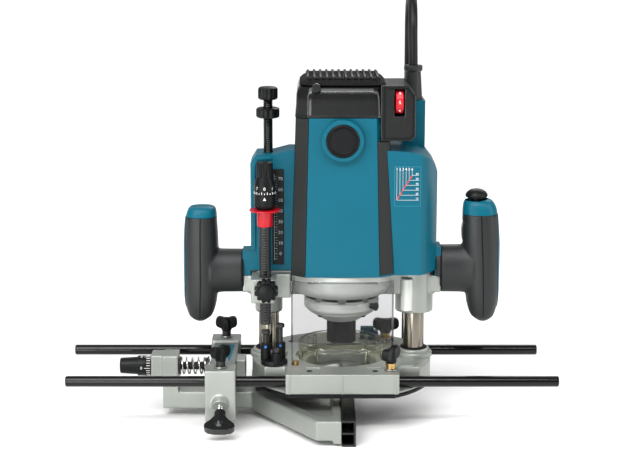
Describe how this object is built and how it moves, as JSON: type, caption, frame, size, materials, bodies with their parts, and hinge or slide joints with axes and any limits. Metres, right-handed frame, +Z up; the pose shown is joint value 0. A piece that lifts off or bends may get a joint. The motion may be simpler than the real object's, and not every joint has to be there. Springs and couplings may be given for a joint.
{
  "type": "plunge router with edge guide",
  "caption": "Heavy-duty corded plunge router with two upright handles, twin columns, a turret depth stop and a rod-mounted edge guide.",
  "frame": {"origin": "middle of the footprint of the tool without its lead, at the height of the fence's lower edge; the spindle axis is at X +0.0305, Y 0, and the sole's underside at Z +0.0348", "axes": "+Z up along the spindle, +X towards the handle with the switch, along the guide rods, -Y towards the side with the depth stop and speed dial"},
  "size_m": [0.457, 0.3275, 0.3943],
  "materials": {
    "teal_plastic": "satin teal paint over moulded ribs",
    "casting": "fine-grained silver-grey coated casting",
    "dark_casting": "darker grey coated casting",
    "black_plastic": "semi-matte black moulding",
    "gloss_black": "glossy black moulding",
    "soft_rubber": "matte overmoulded elastomer",
    "bright_steel": "ground and polished steel",
    "steel": "plain steel",
    "dark_steel": "black oxide steel",
    "copper": "copper windings and bars",
    "red_plastic": "red moulding",
    "clear_amber": "clear yellowish plastic",
    "clear_smoke": "clear grey plastic",
    "cord_rubber": "smooth black rubber lead"
  },
  "bodies": {
    "base": {"sole_plate": "black_plastic", "base_casting": "casting", "left_column": "bright_steel", "right_column": "bright_steel", "left_plunge_spring": "steel", "right_plunge_spring": "steel", "limit_rod": "dark_steel", "guide_bush_plate": "steel", "chip_ring": "clear_amber", "chip_deflector": "clear_smoke", "cord_coil": "cord_rubber", "cord_tail": "cord_rubber", "mains_plug": "black_plastic"},
    "head": {"motor_bracket": "casting", "bearing_cover": "casting", "lower_bearing": "steel", "motor_housing": "teal_plastic", "left_side_strip": "soft_rubber", "right_side_strip": "soft_rubber", "field_core": "dark_steel", "front_brush_cap": "black_plastic", "rear_brush_cap": "black_plastic", "top_cover": "gloss_black", "top_grille": "black_plastic", "upper_bearing": "steel", "cord_guard": "soft_rubber", "left_grip": "soft_rubber", "left_grip_cap": "teal_plastic", "right_grip": "soft_rubber", "right_grip_cap": "teal_plastic", "depth_scale": "black_plastic", "power_cord": "cord_rubber"},
    "rotor": {"armature": "copper", "collet": "steel", "collet_nut": "dark_steel", "cooling_fan": "black_plastic"},
    "limit_nut": {"limit_nut": "black_plastic"},
    "front_rod_clamp": {"rod_clamp_front": "black_plastic"},
    "rear_rod_clamp": {"rod_clamp_rear": "black_plastic"},
    "turret": {"stop_turret": "black_plastic"},
    "latch": {"bush_latch": "teal_plastic"},
    "stop_pole": {"stop_pole": "dark_steel"},
    "depth_pointer": {"depth_pointer": "red_plastic"},
    "fine_depth_knob": {"fine_depth_knob": "black_plastic"},
    "pole_clamp": {"pole_clamp_knob": "black_plastic"},
    "trigger": {"trigger": "black_plastic"},
    "lock_button": {"lock_button": "black_plastic"},
    "speed_dial": {"speed_dial": "red_plastic"},
    "plunge_lock": {"plunge_lock_lever": "black_plastic"},
    "shaft_lock": {"shaft_lock_pin": "black_plastic"},
    "guide_rods": {"guide_rod_front": "dark_steel", "guide_rod_rear": "dark_steel"},
    "guide_holder": {"guide_holder": "dark_casting", "adjuster_spring": "bright_steel"},
    "guide_carriage": {"guide_carriage": "casting", "fence_plate": "black_plastic"},
    "adjuster": {"adjuster_knob": "black_plastic"},
    "front_wing_bolt": {"wing_bolt_front": "black_plastic"},
    "rear_wing_bolt": {"wing_bolt_rear": "black_plastic"},
    "lower_wing_bolt": {"wing_bolt_lower": "black_plastic"}
  },
  "joints": [
    {"name": "plunge", "type": "slide", "parent": "base", "child": "head", "axis": [0, 0, 1], "range_m": [-0.0225, 0.03], "deforming": ["left_plunge_spring", "right_plunge_spring"]},
    {"name": "spindle_spin", "type": "hinge", "parent": "head", "child": "rotor", "pos_m": [0.0305, 0, 0.1348], "axis": [0, 0, 1], "continuous": true},
    {"name": "limit_nut_travel", "type": "slide", "parent": "base", "child": "limit_nut", "axis": [0, 0, 1], "range_m": [-0.03, 0.007]},
    {"name": "front_clamp_turn", "type": "hinge", "parent": "base", "child": "front_rod_clamp", "pos_m": [0.075, -0.054, 0.0648], "axis": [0, 0, 1], "range_deg": [-180, 180]},
    {"name": "rear_clamp_turn", "type": "hinge", "parent": "base", "child": "rear_rod_clamp", "pos_m": [0.075, 0.054, 0.0648], "axis": [0, 0, 1], "range_deg": [-180, 180]},
    {"name": "turret_turn", "type": "hinge", "parent": "base", "child": "turret", "pos_m": [-0.032, -0.034, 0.0588], "axis": [0, 0, 1], "continuous": true},
    {"name": "latch_turn", "type": "hinge", "parent": "base", "child": "latch", "pos_m": [0.0545, 0.064, 0.0588], "axis": [0, 0, 1], "range_deg": [0, 35]},
    {"name": "pole_travel", "type": "slide", "parent": "base", "child": "stop_pole", "axis": [0, 0, 1], "range_m": [0, 0.03]},
    {"name": "pointer_travel", "type": "slide", "parent": "stop_pole", "child": "depth_pointer", "axis": [0, 0, 1], "range_m": [-0.015, 0]},
    {"name": "fine_depth_turn", "type": "hinge", "parent": "stop_pole", "child": "fine_depth_knob", "pos_m": [-0.0399, -0.032, 0.2248], "axis": [0, 0, 1], "continuous": true},
    {"name": "pole_clamp_turn", "type": "hinge", "parent": "head", "child": "pole_clamp", "pos_m": [-0.0385, -0.05, 0.1315], "axis": [0, -1, 0], "range_deg": [-180, 180]},
    {"name": "trigger_pull", "type": "slide", "parent": "head", "child": "trigger", "axis": [1, 0, 0], "range_m": [0, 0.004], "stiffness_N_per_m": 600},
    {"name": "lock_button_press", "type": "slide", "parent": "head", "child": "lock_button", "axis": [0, 0, -1], "range_m": [0, 0.003], "stiffness_N_per_m": 600},
    {"name": "speed_dial_turn", "type": "hinge", "parent": "head", "child": "speed_dial", "pos_m": [0.0813, -0.033, 0.3012], "axis": [1, 0, 0], "range_deg": [0, 270]},
    {"name": "plunge_lock_turn", "type": "hinge", "parent": "head", "child": "plunge_lock", "pos_m": [0.0985, 0.022, 0.1288], "axis": [0, 1, 0], "range_deg": [0, 25]},
    {"name": "shaft_lock_press", "type": "slide", "parent": "head", "child": "shaft_lock", "axis": [-0.766, 0.6428, 0], "range_m": [0, 0.004], "stiffness_N_per_m": 300},
    {"name": "guide_rod_travel", "type": "slide", "parent": "base", "child": "guide_rods", "axis": [1, 0, 0], "range_m": [-0.08, 0.004]},
    {"name": "guide_holder_travel", "type": "slide", "parent": "guide_rods", "child": "guide_holder", "axis": [1, 0, 0], "range_m": [-0.1, 0]},
    {"name": "fine_guide_travel", "type": "slide", "parent": "guide_holder", "child": "guide_carriage", "axis": [1, 0, 0], "range_m": [-0.01, 0]},
    {"name": "fine_guide_turn", "type": "hinge", "parent": "guide_carriage", "child": "adjuster", "pos_m": [-0.1595, 0, 0.0458], "axis": [1, 0, 0], "range_deg": [-2401, 1]},
    {"name": "front_wing_turn", "type": "hinge", "parent": "guide_holder", "child": "front_wing_bolt", "pos_m": [-0.0805, -0.054, 0.0648], "axis": [0, 0, 1], "range_deg": [-180, 180]},
    {"name": "rear_wing_turn", "type": "hinge", "parent": "guide_holder", "child": "rear_wing_bolt", "pos_m": [-0.0805, 0.054, 0.0648], "axis": [0, 0, 1], "range_deg": [-180, 180]},
    {"name": "lower_wing_turn", "type": "hinge", "parent": "guide_holder", "child": "lower_wing_bolt", "pos_m": [-0.0805, -0.066, 0.0278], "axis": [0, -0.8192, -0.5736], "range_deg": [-180, 180]}
  ],
  "couplings": [
    {"joint": "fine_guide_turn", "follows": "fine_guide_travel", "rad_per_m": 4188.8}
  ]
}
